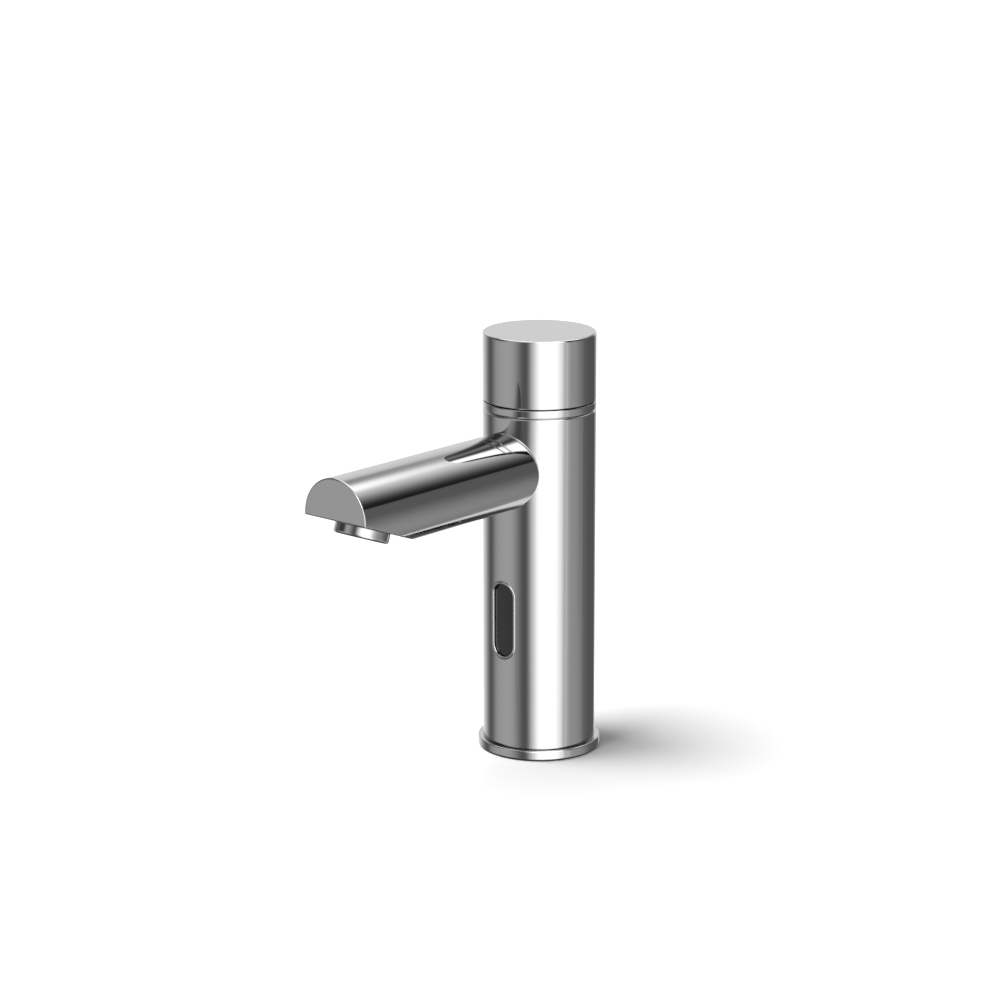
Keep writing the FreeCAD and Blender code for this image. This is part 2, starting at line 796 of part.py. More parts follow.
def make_knob_adapter():
    rim_low = cap_roof - adapter_rim_height
    rim_outer = cap_bore - slip_gap
    web_low = stop_floor + stop_height + moving_gap
    hub_low = housing_neck_top + moving_gap
    web_top = web_low + adapter_web_height
    adapter = tube(rim_outer, rim_outer - adapter_rim_thickness, rim_low, cap_roof)
    adapter = adapter.fuse(rod(rim_outer, web_low, web_top))
    adapter = adapter.fuse(rod(adapter_hub_radius, hub_low, cap_roof))
    tongue = sector(stop_inner, stop_outer, stop_floor + moving_gap, web_low,
                    -right_angle - tongue_half_degrees, 2 * tongue_half_degrees)
    adapter = adapter.fuse(tongue)
    half = spindle_flat_width / 2 + running_gap
    square = block(-half, half, -half, half, hub_low - overrun, spindle_top)
    round_hole = rod(spindle_radius - spindle_ring_section + running_gap, hub_low - overrun,
                     spindle_top)
    adapter = adapter.cut(square.common(round_hole))
    adapter = adapter.cut(rod(knob_screw_radius + running_gap, spindle_top - overrun, cap_roof))
    head_low = spindle_top + adapter_web_height / 2
    adapter = adapter.cut(rod(knob_screw_head_radius + slip_gap, head_low, cap_roof + overrun))
    height = cap_top - grub_drop
    return adapter.cut(forward_rod(grub_radius, -column_radius, -adapter_hub_radius - overrun,
                                   height))


def make_knob_screw():
    head_low = spindle_top + adapter_web_height / 2
    shank_low = spindle_top - knob_screw_length + slip_gap
    screw = rod(knob_screw_radius, shank_low, head_low)
    head_top = head_low + knob_screw_head_height
    screw = screw.fuse(rod(knob_screw_head_radius, head_low, head_top))
    socket = hexagon(2 * knob_screw_socket, head_low + slip_gap, head_top + overrun)
    return screw.cut(socket)


# Heights in the pilot valve, from the valve body down
thread_top = body_low + valve_thread_length
rim_low = thread_top - membrane_thickness
membrane_top = rim_low + membrane_rise
carrier_top = membrane_top - membrane_thickness
carrier_low = carrier_top - carrier_thickness
hub_low = carrier_low - carrier_hub_length
bonnet_low = body_low - bonnet_flange_height
bonnet_chamber_low = bonnet_low + bonnet_floor
can_top = bonnet_low
winding_high = can_top - pole_washer_height - bobbin_flange
winding_low = winding_high - winding_length
bobbin_low = winding_low - bobbin_flange
can_low = bobbin_low - can_floor
pole_top = can_low + pole_length
plunger_low = pole_top + plunger_travel + plunger_stop_gap
plunger_seal_top = hub_low - running_gap
plunger_top = plunger_seal_top - plunger_seal_stand


def make_membrane():
    outer = valve_thread_radius - slip_gap / 2
    rim_inner = membrane_rim_inner
    top_inner = membrane_top_radius - membrane_thickness / 2
    outline = [
        (rim_inner, rim_low),
        (outer, rim_low),
        (outer, thread_top),
        (rim_inner + membrane_thickness / 2, thread_top),
        (membrane_top_radius, membrane_top),
        (carrier_nose_radius, membrane_top),
        (carrier_nose_radius, carrier_top),
        (top_inner, carrier_top),
    ]
    return turned(outline, 0, solenoid_y)


def make_carrier():
    carrier = rod(carrier_radius, carrier_low, carrier_top, 0, solenoid_y)
    carrier = carrier.fuse(rod(carrier_hub_radius, hub_low, carrier_low, 0, solenoid_y))
    carrier = carrier.fuse(rod(carrier_nose_radius, carrier_top, membrane_top, 0, solenoid_y))
    pilot = rod(pilot_hole_radius, hub_low - overrun, membrane_top + overrun, 0, solenoid_y)
    return carrier.cut(pilot)


def make_bonnet():
    bonnet = rod(bonnet_flange_radius, bonnet_low, body_low, 0, solenoid_y)
    spigot = valve_thread_radius - slip_gap / 2
    bonnet = bonnet.fuse(rod(spigot, body_low, rim_low, 0, solenoid_y))
    bonnet = bonnet.cut(rod(membrane_rim_inner, bonnet_chamber_low, rim_low + overrun,
                            0, solenoid_y))
    bonnet = bonnet.cut(rod(core_flange_radius, bonnet_chamber_low - core_flange_height,
                            rim_low, 0, solenoid_y))
    return bonnet.cut(rod(core_tube_radius, bonnet_low - overrun, rim_low, 0, solenoid_y))


def make_core_tube():
    flange_low_face = bonnet_chamber_low - core_flange_height
    core = rod(core_tube_radius, can_low, bonnet_chamber_low, 0, solenoid_y)
    core = core.fuse(rod(core_flange_radius, flange_low_face, bonnet_chamber_low, 0, solenoid_y))
    return core.cut(rod(core_bore, can_low - overrun, bonnet_chamber_low + overrun, 0, solenoid_y))


def make_can():
    can = rod(bonnet_flange_radius, can_low, can_top, 0, solenoid_y)
    hollow = rod(bonnet_flange_radius - can_wall, bobbin_low, can_top + overrun, 0, solenoid_y)
    can = can.cut(hollow)
    can = can.cut(rod(core_tube_radius, can_low - overrun, can_top, 0, solenoid_y))
    return can.cut(forward_rod(lead_radius + running_gap, -solenoid_y,
                               bonnet_flange_radius, lead_height))


def make_pole_washer():
    return tube(bonnet_flange_radius - can_wall, core_tube_radius, can_top - pole_washer_height,
                can_top, 0, solenoid_y)


def make_bobbin():
    outer = bonnet_flange_radius - can_wall
    bobbin = rod(core_tube_radius + bobbin_wall, bobbin_low, winding_high + bobbin_flange,
                 0, solenoid_y)
    for low in (bobbin_low, winding_high):
        bobbin = bobbin.fuse(rod(outer, low, low + bobbin_flange, 0, solenoid_y))
    return bobbin.cut(rod(core_tube_radius, bobbin_low - overrun, can_top, 0, solenoid_y))


def make_winding():
    outer = bonnet_flange_radius - can_wall - winding_inset
    return tube(outer, core_tube_radius + bobbin_wall, winding_low, winding_high, 0, solenoid_y)


def make_pole_piece():
    pole = rod(core_bore, can_low, pole_top, 0, solenoid_y)
    pole = pole.fuse(rod(pole_stud_radius, can_low - pole_stud_length, can_low, 0, solenoid_y))
    return pole.cut(rod(spring_bore_radius, pole_top - spring_bore_depth, pole_top + overrun,
                        0, solenoid_y))


def make_solenoid_nut():
    nut = hexagon(solenoid_nut_width, can_low - solenoid_nut_height, can_low, 0, solenoid_y)
    return nut.cut(rod(pole_stud_radius, can_low - pole_stud_length, can_low + overrun,
                       0, solenoid_y))


def make_plunger():
    nose_low = plunger_top - plunger_nose_length
    plunger = rod(core_bore - plunger_fit, plunger_low, nose_low, 0, solenoid_y)
    plunger = plunger.fuse(rod(plunger_nose_radius, nose_low, plunger_top, 0, solenoid_y))
    plunger = plunger.cut(rod(plunger_seal_radius, plunger_top - plunger_seal_depth,
                              plunger_top + overrun, 0, solenoid_y))
    return plunger.cut(rod(spring_bore_radius, plunger_low - overrun,
                           plunger_low + spring_bore_depth, 0, solenoid_y))


def make_plunger_seal():
    return rod(plunger_seal_radius, plunger_top - plunger_seal_depth, plunger_seal_top,
               0, solenoid_y)


spring_low = pole_top - spring_bore_depth + spring_wire_radius
spring_high = plunger_low + spring_bore_depth - spring_wire_radius
spring_radius = spring_bore_radius - spring_wire_radius - slip_gap


def helix_point(turns):
    angle = turns * 2 * math.pi
    height = spring_low + (spring_high - spring_low) * turns / spring_turns
    return Vector(spring_radius * math.cos(angle), solenoid_y + spring_radius * math.sin(angle),
                  height)


def helix_tangent(turns):
    angle = turns * 2 * math.pi
    rise = (spring_high - spring_low) / spring_turns / (2 * math.pi)
    tangent = Vector(-spring_radius * math.sin(angle), spring_radius * math.cos(angle), rise)
    return tangent.normalize()


def biarc(start, start_tangent, end, end_tangent):
    """Two tangent arcs that join two points with the given directions."""
    chord = end - start
    both = start_tangent + end_tangent
    a = 2 * (1 - start_tangent.dot(end_tangent))
    b = 2 * chord.dot(both)
    c = -chord.dot(chord)
    reach = (-b + math.sqrt(b * b - 4 * a * c)) / (2 * a)
    joint = (start + start_tangent * reach + end - end_tangent * reach) * 0.5
    edges = []
    for first, last, direction in ((start, joint, start_tangent), (joint, end, None)):
        if direction is None:
            direction = (joint - end + end_tangent * reach).normalize()
        edges.append(arc_from(first, direction, last))
    return edges


def arc_from(start, direction, end):
    chord = end - start
    normal = direction.cross(chord).normalize()
    side = normal.cross(direction).normalize()
    radius = chord.dot(chord) / (2 * chord.dot(side))
    centre = start + side * radius
    outward = ((start + end) * 0.5 - centre).normalize()
    middle = centre + outward * radius
    return Part.Arc(start, middle, end).toShape()


def make_spring():
    edges = []
    steps_per_turn = 4
    for step in range(spring_turns * steps_per_turn):
        first = step / steps_per_turn
        last = (step + 1) / steps_per_turn
        edges += biarc(helix_point(first), helix_tangent(first), helix_point(last),
                       helix_tangent(last))
    path = Part.Wire(edges)
    circle = Part.makeCircle(spring_wire_radius, helix_point(0), helix_tangent(0))
    spring = path.makePipeShell([Part.Wire([circle])], True, False)
    pitch = (spring_high - spring_low) / spring_turns
    print("spring least gap", round(pitch - 2 * spring_wire_radius, 3))
    return spring


def make_lead():
    back = -solenoid_y + bonnet_flange_radius - can_wall
    return forward_rod(lead_radius, back, housing_back, lead_height)


# Heights and radii in the sensor
opening_width = window_width - 2 * bezel_width
opening_low = window_low + bezel_width
opening_high = window_high - bezel_width
flange_back = column_bore - window_gasket_thickness - window_flange_thickness


def window_prism(extra):
    """The window's outline, larger by the given margin all round."""
    return slot_prism(opening_width + 2 * extra, opening_low - extra, opening_high + extra,
                      housing_back, column_radius + overrun)


def round_layer(outer, inner):
    return tube(outer, inner, housing_low, housing_high)


def make_window_bezel():
    """A rounded trim ring that lines the column's slot and stands a little proud of its skin."""
    front = column_radius + bezel_stand
    bezel = window_prism(bezel_width).cut(window_prism(0)).common(round_layer(front, column_bore))
    rim = []
    for edge in bezel.Edges:
        middle = edge.valueAt((edge.FirstParameter + edge.LastParameter) / 2)
        if math.hypot(middle.x, middle.y) > column_radius:
            rim.append(edge)
    return bezel.makeFillet(bezel_edge, rim)


def make_sensor_window():
    pane = window_prism(-running_gap).common(
        round_layer(column_radius - window_recess, flange_back))
    flange = window_prism(window_flange).common(
        round_layer(column_bore - window_gasket_thickness, flange_back))
    return pane.fuse(flange).removeSplitter()


def make_window_gasket():
    layer = round_layer(column_bore, column_bore - window_gasket_thickness)
    frame = window_prism(window_flange).cut(window_prism(0))
    return frame.common(layer)


def make_sensor_housing():
    front = column_bore - slip_gap
    body = block(-housing_half_width, housing_half_width, -front, -housing_back,
                 housing_low, housing_high).common(rod(front, housing_low, housing_high))
    body = body.cut(window_prism(window_flange + slip_gap).common(
        round_layer(column_radius, flange_back)))
    cavity_side = housing_half_width - housing_wall
    body = body.cut(block(-cavity_side, cavity_side, -column_radius, -housing_back - housing_wall,
                          housing_low + housing_wall, housing_high - housing_wall))
    body = body.cut(forward_rod(lead_radius + running_gap, 0, housing_back + housing_wall,
                                lead_height))
    for side in (-1, 1):
        x = side * riser_x
        clip = rod(riser_radius + clip_thickness, clip_low, clip_low + clip_height,
                   x, inlet_setback)
        arm_front = housing_back + housing_wall
        ends = sorted((side * (housing_half_width - housing_wall), side * riser_x))
        arm = block(ends[0], ends[1], -arm_front, inlet_setback - riser_radius,
                    clip_low, clip_low + clip_height)
        clip = clip.fuse(arm)
        clip = clip.cut(rod(riser_radius + running_gap, clip_low - overrun,
                            clip_low + clip_height + overrun, x, inlet_setback))
        mouth = block(x - riser_radius * 2, x + riser_radius * 2, inlet_setback + clip_mouth,
                      inlet_setback + riser_radius * 2, clip_low - overrun,
                      clip_low + clip_height + overrun)
        body = body.fuse(clip.cut(mouth))
    return body.cut(block(-cavity_side, cavity_side, -column_radius, -housing_back - housing_wall,
                          housing_low + housing_wall, housing_high - housing_wall))


board_back = housing_back + board_setback
board_front = board_back + board_thickness
eye_length = flange_back - eye_gap - board_front
eye_middle = (window_low + window_high) / 2


def make_sensor_board():
    side = housing_half_width - housing_wall - running_gap
    low = housing_low + housing_wall + running_gap
    high = housing_high - housing_wall - running_gap
    board = block(-side, side, -board_front, -board_back, low, high)
    posts = []
    for x in (-side / 2, side / 2):
        for z in (low + eye_radius, high - eye_radius):
            posts.append(forward_rod(lead_radius, housing_back + housing_wall, board_back, z, x))
    for post in posts:
        board = board.fuse(post)
    return board


def make_eye(height):
    tip = board_front + eye_length - eye_radius
    eye = forward_rod(eye_radius, board_front, tip, height)
    dome = Part.makeSphere(eye_radius, Vector(0, -tip, height))
    dome = dome.common(forward_rod(eye_radius, tip, tip + eye_radius, height))
    return eye.fuse(dome)


def make_all():
    save(make_column_shell(), "column_shell")
    save(make_spout_shell(), "spout_shell")
    save(make_base_flange(), "base_flange")
    save(make_base_gasket(), "base_gasket")
    save(make_base_block(), "base_block")
    save(make_cable_grommet(), "cable_grommet")
    save(make_riser(-1), "hot_riser")
    save(make_riser(1), "cold_riser")
    save(make_riser_rings(), "riser_o_rings")
    save(make_valve_body(), "valve_body")
    save(make_outlet_tube(), "outlet_tube")
    save(make_outlet_tube_rings(), "outlet_tube_o_rings")
    save(make_collar_ring(), "collar_ring")
    save(make_aerator_shell(), "aerator_shell")
    save(make_aerator_insert(), "aerator_insert")
    save(make_aerator_strainer(), "aerator_strainer")
    save(make_aerator_seal(), "aerator_seal")
    save(make_knob_cap(), "knob_cap")
    save(make_grub_screw(), "knob_grub_screw")
    save(make_knob_adapter(), "knob_adapter")
    save(make_knob_screw(), "knob_screw")
    save(make_cartridge_base(), "cartridge_base")
    save(Part.makeCompound(port_seals(pocket_floor)), "cartridge_port_seals")
    save(Part.makeCompound(port_seals(disc_floor - seal_height)), "disc_seals")
    save(make_fixed_disc(), "fixed_disc")
    save(make_moving_disc(), "moving_disc")
    save(make_spindle(), "cartridge_spindle")
    save(make_spindle_rings(), "spindle_o_rings")
    save(make_cartridge_housing(), "cartridge_housing")
    save(make_cartridge_nut(), "cartridge_nut")
    save(make_stop_ring(), "stop_ring")
    save(make_membrane(), "diaphragm_membrane")
    save(make_carrier(), "diaphragm_carrier")
    save(make_bonnet(), "solenoid_bonnet")
    save(make_core_tube(), "core_tube")
    save(make_can(), "solenoid_can")
    save(make_pole_washer(), "pole_washer")
    save(make_bobbin(), "coil_bobbin")
    save(make_winding(), "coil_winding")
    save(make_pole_piece(), "pole_piece")
    save(make_solenoid_nut(), "solenoid_nut")
    save(make_plunger(), "plunger")
    save(make_plunger_seal(), "plunger_seal")
    save(make_spring(), "plunger_spring")
    save(make_lead(), "solenoid_lead")
    save(make_window_bezel(), "window_bezel")
    save(make_sensor_window(), "sensor_window")
    save(make_window_gasket(), "window_gasket")
    save(make_sensor_housing(), "sensor_housing")
    save(make_sensor_board(), "sensor_board")
    save(make_eye(eye_middle - eye_spacing / 2), "ir_emitter")
    save(make_eye(eye_middle + eye_spacing / 2), "ir_receiver")


make_all()
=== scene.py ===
"""Looks of a sensor basin tap with a temperature knob: finishes, studio and camera. Metres."""

import json
import math

import bpy
from mathutils import Matrix, Vector

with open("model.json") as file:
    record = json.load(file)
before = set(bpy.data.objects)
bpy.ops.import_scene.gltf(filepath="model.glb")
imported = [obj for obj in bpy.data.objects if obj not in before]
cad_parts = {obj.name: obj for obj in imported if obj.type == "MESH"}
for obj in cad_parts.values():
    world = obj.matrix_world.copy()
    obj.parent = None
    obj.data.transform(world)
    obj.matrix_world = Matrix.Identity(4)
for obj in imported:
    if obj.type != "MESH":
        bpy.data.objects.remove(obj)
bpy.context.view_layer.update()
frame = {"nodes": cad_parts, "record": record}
nodes = frame["nodes"]

# Camera, from the photograph
CAMERA_AZIMUTH = math.radians(40.25)
CAMERA_DISTANCE = 1.254
CAMERA_HEIGHT = 0.4314
CAMERA_PITCH = math.radians(14.603)
CAMERA_YAW = math.radians(-0.735)
CAMERA_ROLL = math.radians(0.076)
SENSOR_WIDTH = 36.0
FOCAL_LENGTH = 113.54
CLIP_RANGE = (0.01, 50.0)

# The studio that polished metal mirrors. Headings are in degrees from the camera's side, to the
# right, and elevations in degrees above the floor's level. Two values are where a fade starts and
# ends. Four are those of a fade in, and then those of a fade out.
WALL_CARDS = (
    ("back wall, left half", -180, 1.02),
    ("back wall's left end", -157, 1.02),
    ("soft edge", -136, 0.58),
    ("dark flag, left rear", -118, 0.16),
    ("soft edge", -98, 0.48),
    ("grey card, left", -72, 0.62),
    ("grey card's end", -52, 0.52),
    ("dark flag, left of the window", -30, 0.15),
    ("soft edge", -19, 0.52),
    ("soft edge", -5, 1.62),
    ("window card", 8, 2.20),
    ("window card's right part", 30, 2.12),
    ("soft edge", 40, 1.76),
    ("soft edge", 47, 1.36),
    ("window frame", 53.5, 0.80),
    ("lit reveal", 57.5, 0.90),
    ("soft edge", 61, 0.70),
    ("grey card, right", 68, 0.54),
    ("grey card's far end", 82, 0.49),
    ("soft edge", 92, 0.42),
    ("soft edge", 104, 0.29),
    ("dark flag, right", 115, 0.19),
    ("dark flag, right rear", 143, 0.145),
    ("soft edge", 156, 0.19),
    ("soft edge", 168, 0.68),
    ("back wall, right half", 180, 1.02),
)
BRIGHTEST_CARD = max(level for _, _, level in WALL_CARDS)

# On the right the cards lean over by this many degrees of heading for each degree of elevation
# from the pivot, up to the level of the floor
RIGHT_LEAN = 1.29
RIGHT_LEAN_PIVOT = -19.0
RIGHT_LEAN_SIDES = (60.0, 90.0, 150.0, 170.0)

# Bright upper part of the window, and the lights above the walls
UPPER_WINDOW_SIDES = (-22.0, 8.0, 46.0, 80.0)
UPPER_WINDOW_RISE = (5.0, 44.0)
UPPER_WINDOW_LEVEL = 4.2
OVERHEAD_HEADING = 136.0
OVERHEAD_ELEVATION = 47.0
OVERHEAD_RADII = (0.0, 46.0)
OVERHEAD_FALL = 1.6
OVERHEAD_LEVEL = 1.26
OVERHEAD_SIDE = (88.0, 104.0)
REAR_LIGHT_TURN = (44.0, 64.0)
REAR_LIGHT_RISE = (42.0, 50.0)
REAR_LIGHT_LEVEL = 3.0
CEILING_RISE = (56.0, 74.0)
CEILING_LEVEL = 1.5

# The dark gap over the rear wall, the dark flags at both sides, and the rear wall's low band
REAR_GAP_HEADING = 150.0
REAR_GAP_TURN = (30.0, 75.0)
REAR_GAP_RISE = (28.0, 42.0)
RIGHT_FLAG_SIDES = (56.0, 66.0, 146.0, 172.0)
RIGHT_FLAG_FOOT = (14.5, 17.5)
RIGHT_FLAG_LEVEL = 0.02
LEFT_FLAG_SIDES = (-112.0, -102.0, -84.0, -62.0)
LEFT_FLAG_RISE = (-8.0, 4.0, 34.0, 48.0)
LEFT_FLAG_LEVEL = 0.08
LOW_WALL_TURN = (24.0, 34.0)
LOW_WALL_RISE = (-4.0, 3.0, 12.0, 13.4)
LOW_WALL_LEVEL = 0.93

# The floor in the mirrored studio: dark at the left and rear, and all round near the tap
LIT_FLOOR_SIDES = (-44.0, -30.0, 134.0, 156.0)
DARK_FLOOR_DROP = (-23.0, -36.0)
DARK_FLOOR_LEVEL = 0.13
NEAR_FLOOR_DROP = (-44.0, -56.0)
NEAR_FLOOR_LEVEL = 0.10

# The floor under the tap, the soft light from all sides, and the lamp
SOFT_LEVEL = 0.23
FLOOR_SIZE = 6.0
FLOOR_COLOUR = (0.97, 0.97, 0.97, 1.0)
FLOOR_SEEN_COLOUR = (1.22, 1.22, 1.22, 1.0)
KEY_HEADING = -79.0
KEY_ELEVATION = 60.3
KEY_ANGLE = 46.4
KEY_STRENGTH = 2.95

# Softening of the chrome pieces' edges, in the shading alone
CHROME_EDGE = 0.0005
OWN_CHROME_EDGES = {"knob_cap": 0.0003, "spout_shell": 0.001}
EDGE_SAMPLES = 8

# Grain of the finishes: the broad one is this many times as coarse as the fine one
BROAD_GRAIN = 12
GRAIN_BAND = (0.3, 0.7)
GRAIN_ROUGHNESS = 0.55
FINE_DETAIL = 3.0
BROAD_DETAIL = 2.0

METAL = 1.0
FINISHES = {
    "brass": dict(
        name="machined_brass", colour=(0.80, 0.60, 0.32), spread=0.05, metallic=METAL,
        roughness=(0.2, 0.34), grain=1400.0, bump=2e-6, stretch=(1, 1, 6)),
    "stainless": dict(
        name="stainless_steel", colour=(0.62, 0.61, 0.59), spread=0.04, metallic=METAL,
        roughness=(0.2, 0.32), grain=1600.0, bump=2e-6, stretch=(1, 1, 8)),
    "copper": dict(
        name="enamelled_copper", colour=(0.72, 0.34, 0.16), spread=0.08, metallic=METAL,
        roughness=(0.22, 0.36), grain=2500.0, bump=4e-6, stretch=(1, 1, 5), coat=0.4),
    "rubber": dict(
        name="black_rubber", colour=(0.028, 0.028, 0.03), spread=0.12,
        roughness=(0.55, 0.7), grain=2200.0, bump=6e-6),
    "white_plastic": dict(
        name="white_acetal", colour=(0.82, 0.82, 0.79), spread=0.03,
        roughness=(0.38, 0.5), grain=1500.0, bump=3e-6),
    "grey_plastic": dict(
        name="grey_nylon", colour=(0.42, 0.43, 0.44), spread=0.05,
        roughness=(0.42, 0.55), grain=1500.0, bump=4e-6),
    "black_plastic": dict(
        name="black_nylon", colour=(0.035, 0.035, 0.037), spread=0.1,
        roughness=(0.4, 0.55), grain=1500.0, bump=4e-6),
    "window": dict(
        name="dark_window", colour=(0.012, 0.012, 0.013), spread=0.08,
        roughness=(0.03, 0.06), grain=700.0),
    "board": dict(
        name="green_board", colour=(0.03, 0.17, 0.08), spread=0.1,
        roughness=(0.3, 0.45), grain=1800.0, bump=4e-6, coat=0.3),
    "lens": dict(
        name="smoked_epoxy", colour=(0.04, 0.03, 0.05), spread=0.1,
        roughness=(0.08, 0.14), grain=1200.0),
    "ceramic": dict(
        name="alumina_ceramic", colour=(0.86, 0.85, 0.81), spread=0.02,
        roughness=(0.1, 0.18), grain=1200.0, bump=1e-6),
}
# The valve body, seen only in the gap under the knob: brass darkened as painted shade of that
# gap, and rough
PAINTED_SHADE_BRASS = dict(
    name="brass_in_painted_shade", colour=(0.13, 0.11, 0.085), spread=0.08, metallic=METAL,
    roughness=(0.45, 0.6), grain=1400.0, bump=6e-6)


class Graph:
    """Adds nodes and links to one node tree."""

    def __init__(self, tree):
        self.tree = tree
        tree.nodes.clear()

    def add(self, kind, **settings):
        node = self.tree.nodes.new(kind)
        for name, value in settings.items():
            setattr(node, name, value)
        return node

    def link(self, source, target):
        self.tree.links.new(source, target)

    def feed(self, target, value):
        if isinstance(value, bpy.types.NodeSocket):
            self.link(value, target)
        else:
            target.default_value = value

    def math(self, operation, first, second=None, third=None):
        node = self.add("ShaderNodeMath", operation=operation)
        for socket, value in zip(node.inputs, (first, second, third)):
            if value is not None:
                self.feed(socket, value)
        return node.outputs[0]

    def times(self, first, second):
        return self.math("MULTIPLY", first, second)

    def ramp(self, value, low, high, to_low=0.0, to_high=1.0, smooth=True):
        node = self.add("ShaderNodeMapRange")
        node.interpolation_type = "SMOOTHSTEP" if smooth else "LINEAR"
        self.feed(node.inputs["Value"], value)
        node.inputs["From Min"].default_value = low
        node.inputs["From Max"].default_value = high
        node.inputs["To Min"].default_value = to_low
        node.inputs["To Max"].default_value = to_high
        return node.outputs["Result"]

    def fall(self, value, low, high):
        """1 up to the low value, and a soft 0 from the high one on."""
        return self.ramp(value, low, high, 1.0, 0.0)

    def window(self, value, sides):
        """1 between the two middle values, and a soft 0 outside the outer ones."""
        return self.times(self.ramp(value, *sides[:2]), self.fall(value, *sides[2:]))

    def mix(self, factor, first, second):
        node = self.add("ShaderNodeMix", data_type="FLOAT")
        self.feed(node.inputs[0], factor)
        self.feed(node.inputs[2], first)
        self.feed(node.inputs[3], second)
        return node.outputs[0]


def camera_axes():
    """Right, up and backward axes of the camera, in the tap's frame."""
    level = math.cos(CAMERA_PITCH)
    aim = Vector((math.sin(CAMERA_YAW) * level, math.cos(CAMERA_YAW) * level,
                  -math.sin(CAMERA_PITCH)))
    aim = Matrix.Rotation(CAMERA_AZIMUTH, 3, "Z") @ aim
    right = aim.cross(Vector((0, 0, 1))).normalized()
    up = right.cross(aim)
    roll = Matrix.Rotation(CAMERA_ROLL, 3, aim)
    return roll @ right, roll @ up, -aim


def make_camera():
    data = bpy.data.cameras.new("camera")
    data.sensor_width = SENSOR_WIDTH
    data.lens = FOCAL_LENGTH
    data.clip_start, data.clip_end = CLIP_RANGE
    camera = bpy.data.objects.new("camera", data)
    bpy.context.scene.collection.objects.link(camera)
    stand = Vector((0, -CAMERA_DISTANCE, CAMERA_HEIGHT))
    place = Matrix.Rotation(CAMERA_AZIMUTH, 3, "Z") @ stand
    turn = Matrix(camera_axes()).transposed()
    camera.matrix_world = Matrix.LocRotScale(place, turn, None)
    bpy.context.scene.camera = camera


def studio_direction(heading, elevation):
    """Unit vector towards a heading and an elevation in degrees."""
    turn = CAMERA_AZIMUTH - math.pi / 2 + math.radians(heading)
    rise = math.radians(elevation)
    return Vector((math.cos(turn) * math.cos(rise), math.sin(turn) * math.cos(rise),
                   math.sin(rise)))


def in_degrees(graph, radians):
    return graph.times(radians, 180 / math.pi)


def heading_and_elevation(graph, direction):
    turned = graph.add("ShaderNodeVectorRotate", rotation_type="Z_AXIS")
    graph.link(direction, turned.inputs["Vector"])
    turned.inputs["Angle"].default_value = math.pi / 2 - CAMERA_AZIMUTH
    parts = graph.add("ShaderNodeSeparateXYZ")
    graph.link(turned.outputs[0], parts.inputs[0])
    towards, across, up = parts.outputs
    heading = in_degrees(graph, graph.math("ARCTAN2", across, towards))
    return heading, in_degrees(graph, graph.math("ARCSINE", up))


def angle_from(graph, direction, toward):
    """Degrees between a direction and a fixed one."""
    aim = graph.add("ShaderNodeVectorMath", operation="DOT_PRODUCT")
    graph.link(direction, aim.inputs[0])
    aim.inputs[1].default_value = toward
    return in_degrees(graph, graph.math("ARCCOSINE", aim.outputs["Value"]))


def wall_brightness(graph, heading, elevation):
    """The row of cards round the tap, which leans over on the right, low down."""
    lean = graph.math("SUBTRACT", graph.math("MINIMUM", elevation, 0.0), RIGHT_LEAN_PIVOT)
    lean = graph.times(lean, graph.window(heading, RIGHT_LEAN_SIDES))
    leaned = graph.math("MULTIPLY_ADD", lean, RIGHT_LEAN, heading)
    cards = graph.add("ShaderNodeValToRGB")
    cards.color_ramp.interpolation = "CARDINAL"
    stops = cards.color_ramp.elements
    while len(stops) < len(WALL_CARDS):
        stops.new(0.5)  # each stop is put in its place below
    for stop, (_, card_heading, level) in zip(stops, WALL_CARDS):
        stop.position = (card_heading + 180) / 360
        share = level / BRIGHTEST_CARD
        stop.color = (share, share, share, 1)
    graph.link(graph.ramp(leaned, -180, 180, smooth=False), cards.inputs[0])
    return graph.times(cards.outputs[0], BRIGHTEST_CARD)


def with_flags_and_floor(graph, level, heading, elevation):
    """Darkens the wall by the gap over its rear, the flags at both sides and the floor."""
    turn = graph.math("ABSOLUTE", graph.math("SUBTRACT", heading, REAR_GAP_HEADING))
    turn = graph.math("MINIMUM", turn, graph.math("SUBTRACT", 360.0, turn))
    gap = graph.times(graph.fall(turn, *REAR_GAP_TURN), graph.ramp(elevation, *REAR_GAP_RISE))
    level = graph.mix(gap, level, 0.0)
    right_flag = graph.times(graph.window(heading, RIGHT_FLAG_SIDES),
                             graph.ramp(elevation, *RIGHT_FLAG_FOOT))
    level = graph.mix(right_flag, level, RIGHT_FLAG_LEVEL)
    left_flag = graph.times(graph.window(heading, LEFT_FLAG_SIDES),
                            graph.window(elevation, LEFT_FLAG_RISE))
    level = graph.mix(left_flag, level, LEFT_FLAG_LEVEL)
    unlit = graph.math("SUBTRACT", 1.0, graph.window(heading, LIT_FLOOR_SIDES))
    dark_floor = graph.times(graph.ramp(elevation, *DARK_FLOOR_DROP), unlit)
    level = graph.mix(dark_floor, level, DARK_FLOOR_LEVEL)
    return graph.mix(graph.ramp(elevation, *NEAR_FLOOR_DROP), level, NEAR_FLOOR_LEVEL)


